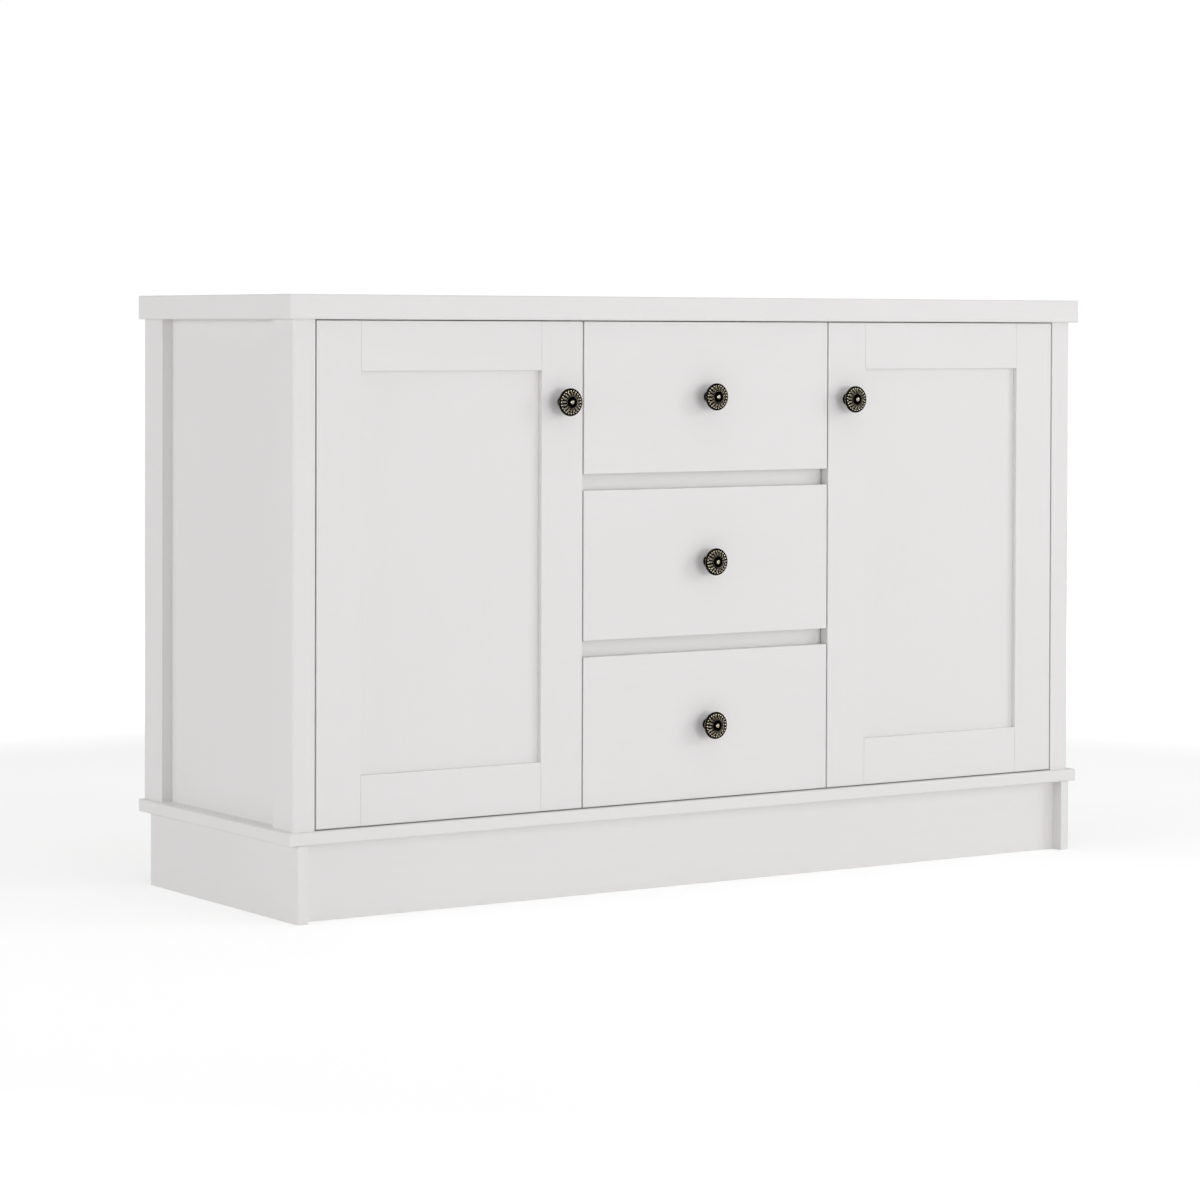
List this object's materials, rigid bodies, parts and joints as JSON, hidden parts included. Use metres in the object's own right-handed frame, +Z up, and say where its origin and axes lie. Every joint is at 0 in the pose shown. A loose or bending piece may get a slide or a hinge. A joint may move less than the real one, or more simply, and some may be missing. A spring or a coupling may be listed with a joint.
{
  "type": "sideboard buffet",
  "caption": "Long low painted cabinet: framed and panelled cupboard doors flank a bank of drawers under an overhanging top, on a set-back plinth.",
  "frame": {"origin": "on the floor, in the middle of the overall width and of the overall depth, knobs included", "axes": "+X to the right seen from the front, +Y to the back, +Z up; the doors and drawers face -Y"},
  "size_m": [1.308, 0.4396, 0.8],
  "materials": {
    "white_paint": "satin off-white paint over board",
    "back_paint": "matt off-white back board",
    "drawer_lining": "plain matt white-faced board",
    "beech": "raw turned beech",
    "antique_brass": "dark antiqued, rubbed bright on the high points",
    "nickel_plate": "nickel-plated pressed steel",
    "zinc_screw": "bright zinc plate",
    "zinc_runner": "bright zinc-plated rolled steel"
  },
  "bodies": {
    "carcass": {"top_board": "white_paint", "base_board": "white_paint", "front_left_post": "white_paint", "front_right_post": "white_paint", "rear_left_post": "white_paint", "rear_right_post": "white_paint", "left_side_panel": "white_paint", "right_side_panel": "white_paint", "left_divider": "white_paint", "right_divider": "white_paint", "back_panel": "back_paint", "drawer_rails": "white_paint", "plinth_front_board": "white_paint", "plinth_back_board": "white_paint", "plinth_left_board": "white_paint", "plinth_right_board": "white_paint", "left_shelf": "white_paint", "right_shelf": "white_paint", "shelf_pins": "zinc_screw", "dowels": "beech", "wood_screws": "zinc_screw", "hinge_arms": "nickel_plate", "hinge_pins": "zinc_screw", "cabinet_runners": "zinc_runner"},
    "left_door": {"left_door_hinge_stile": "white_paint", "left_door_latch_stile": "white_paint", "left_door_top_rail": "white_paint", "left_door_bottom_rail": "white_paint", "left_door_panel": "white_paint", "left_door_knob": "antique_brass", "left_door_hinge_cups": "nickel_plate"},
    "right_door": {"right_door_hinge_stile": "white_paint", "right_door_latch_stile": "white_paint", "right_door_top_rail": "white_paint", "right_door_bottom_rail": "white_paint", "right_door_panel": "white_paint", "right_door_knob": "antique_brass", "right_door_hinge_cups": "nickel_plate"},
    "top_drawer": {"top_drawer_front": "white_paint", "top_drawer_sides": "drawer_lining", "top_drawer_back": "drawer_lining", "top_drawer_bottom": "drawer_lining", "top_drawer_knob": "antique_brass", "top_drawer_runners": "zinc_runner"},
    "top_slides": {"top_slide_members": "zinc_runner"},
    "middle_drawer": {"middle_drawer_front": "white_paint", "middle_drawer_sides": "drawer_lining", "middle_drawer_back": "drawer_lining", "middle_drawer_bottom": "drawer_lining", "middle_drawer_knob": "antique_brass", "middle_drawer_runners": "zinc_runner"},
    "middle_slides": {"middle_slide_members": "zinc_runner"},
    "bottom_drawer": {"bottom_drawer_front": "white_paint", "bottom_drawer_sides": "drawer_lining", "bottom_drawer_back": "drawer_lining", "bottom_drawer_bottom": "drawer_lining", "bottom_drawer_knob": "antique_brass", "bottom_drawer_runners": "zinc_runner"},
    "bottom_slides": {"bottom_slide_members": "zinc_runner"}
  },
  "joints": [
    {"name": "left_door_hinge", "type": "hinge", "parent": "carcass", "child": "left_door", "pos_m": [-0.59, -0.18675, 0.44255], "axis": [0, 0, -1], "range_deg": [0, 100]},
    {"name": "right_door_hinge", "type": "hinge", "parent": "carcass", "child": "right_door", "pos_m": [0.59, -0.18675, 0.44255], "axis": [0, 0, 1], "range_deg": [0, 100]},
    {"name": "top_drawer_slide", "type": "slide", "parent": "carcass", "child": "top_drawer", "axis": [0, -1, 0], "range_m": [0, 0.33]},
    {"name": "top_slides_travel", "type": "slide", "parent": "carcass", "child": "top_slides", "axis": [0, -1, 0], "range_m": [0, 0.165]},
    {"name": "middle_drawer_slide", "type": "slide", "parent": "carcass", "child": "middle_drawer", "axis": [0, -1, 0], "range_m": [0, 0.33]},
    {"name": "middle_slides_travel", "type": "slide", "parent": "carcass", "child": "middle_slides", "axis": [0, -1, 0], "range_m": [0, 0.165]},
    {"name": "bottom_drawer_slide", "type": "slide", "parent": "carcass", "child": "bottom_drawer", "axis": [0, -1, 0], "range_m": [0, 0.33]},
    {"name": "bottom_slides_travel", "type": "slide", "parent": "carcass", "child": "bottom_slides", "axis": [0, -1, 0], "range_m": [0, 0.165]}
  ],
  "couplings": [
    {"joint": "top_slides_travel", "follows": "top_drawer_slide", "ratio": 0.5},
    {"joint": "middle_slides_travel", "follows": "middle_drawer_slide", "ratio": 0.5},
    {"joint": "bottom_slides_travel", "follows": "bottom_drawer_slide", "ratio": 0.5}
  ]
}
